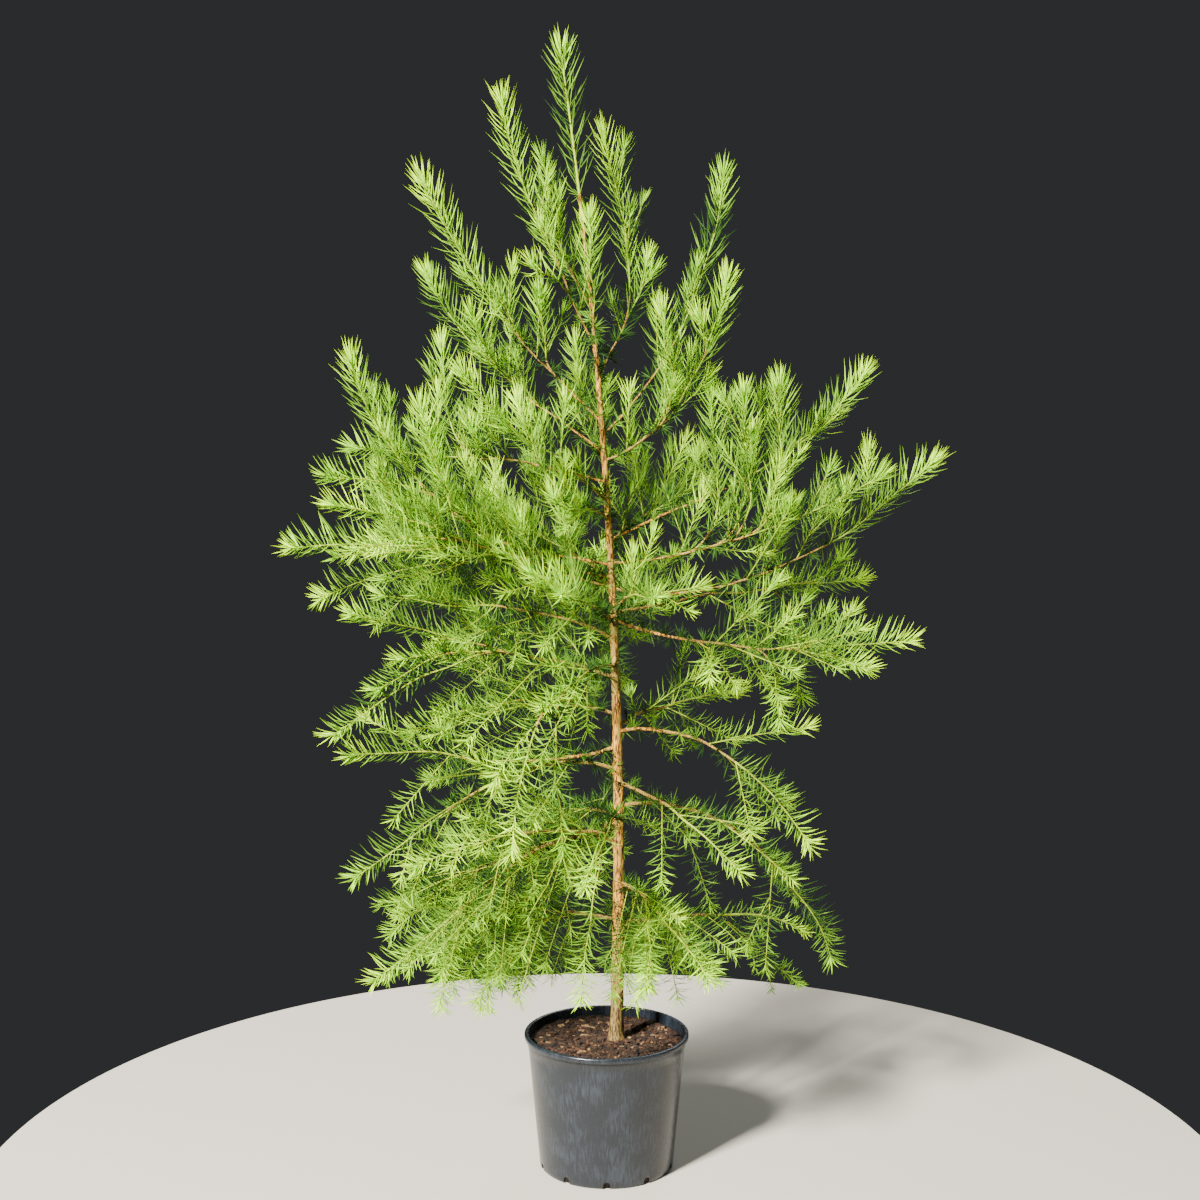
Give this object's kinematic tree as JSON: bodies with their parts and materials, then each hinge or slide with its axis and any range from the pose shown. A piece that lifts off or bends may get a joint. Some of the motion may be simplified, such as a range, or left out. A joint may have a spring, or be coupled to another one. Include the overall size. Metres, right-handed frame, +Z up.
{
  "type": "potted larch sapling",
  "caption": "Young european larch in a plastic nursery pot: leaning trunk, rising upper boughs, drooping lower ones, soft green needles in brush-like shoots.",
  "frame": {"origin": "centre of the pot's flat underside", "axes": "+Z up the trunk, -Y towards the viewer, +X to the viewer's right"},
  "size_m": [1.1632, 0.9049, 1.994],
  "materials": {
    "moulded_pot": "black polypropylene, injection moulded, satin lip, scuffed and dusty wall",
    "bark_compost": "damp peat and chopped bark, coarse and matt",
    "larch_bark": "thin young larch bark, yellow-brown to grey, lightly furrowed and flaking",
    "larch_needles": "soft flat needles, bright green at the tips of the shoots and deeper inside the crown"
  },
  "bodies": {
    "root": {"bough_high_back_left": "larch_bark", "bough_high_left": "larch_bark", "bough_long_left": "larch_bark", "bough_long_right": "larch_bark", "bough_low_right": "larch_bark", "bough_mid_back_left": "larch_bark", "bough_mid_left": "larch_bark", "bough_top_right": "larch_bark", "bough_wide_left": "larch_bark", "bough_wide_right": "larch_bark", "bough_wide_right_high": "larch_bark", "compost": "bark_compost", "mass_drooping_left": "larch_needles", "mass_drooping_right": "larch_needles", "mass_foot_back": "larch_needles", "mass_foot_back_left": "larch_needles", "mass_foot_front": "larch_needles", "mass_foot_front_left": "larch_needles", "mass_foot_right": "larch_needles", "mass_front_centre": "larch_needles", "mass_front_left": "larch_needles", "mass_front_right": "larch_needles", "mass_high_back": "larch_needles", "mass_high_back_left": "larch_needles", "mass_high_front": "larch_needles", "mass_high_front_left": "larch_needles", "mass_high_left": "larch_needles", "mass_high_right": "larch_needles", "mass_leader": "larch_needles", "mass_long_back": "larch_needles", "mass_long_left": "larch_needles", "mass_long_right": "larch_needles", "mass_low_back_left": "larch_needles", "mass_low_back_right": "larch_needles", "mass_low_front": "larch_needles", "mass_low_front_left": "larch_needles", "mass_low_right": "larch_needles", "mass_lowest_back": "larch_needles", "mass_lowest_back_left": "larch_needles", "mass_lowest_front": "larch_needles", "mass_lowest_left": "larch_needles", "mass_lowest_right": "larch_needles", "mass_mid_back": "larch_needles", "mass_mid_back_left": "larch_needles", "mass_mid_back_right": "larch_needles", "mass_mid_left": "larch_needles", "mass_mid_right": "larch_needles", "mass_top_back_left": "larch_needles", "mass_top_back_right": "larch_needles", "mass_top_front": "larch_needles", "mass_top_left": "larch_needles", "mass_top_right": "larch_needles", "mass_wide_back_left": "larch_needles", "mass_wide_back_right": "larch_needles", "mass_wide_front_left": "larch_needles", "mass_wide_left": "larch_needles", "mass_wide_right": "larch_needles", "mass_wide_right_high": "larch_needles", "pot": "moulded_pot", "trunk": "larch_bark"}
  },
  "joints": []
}
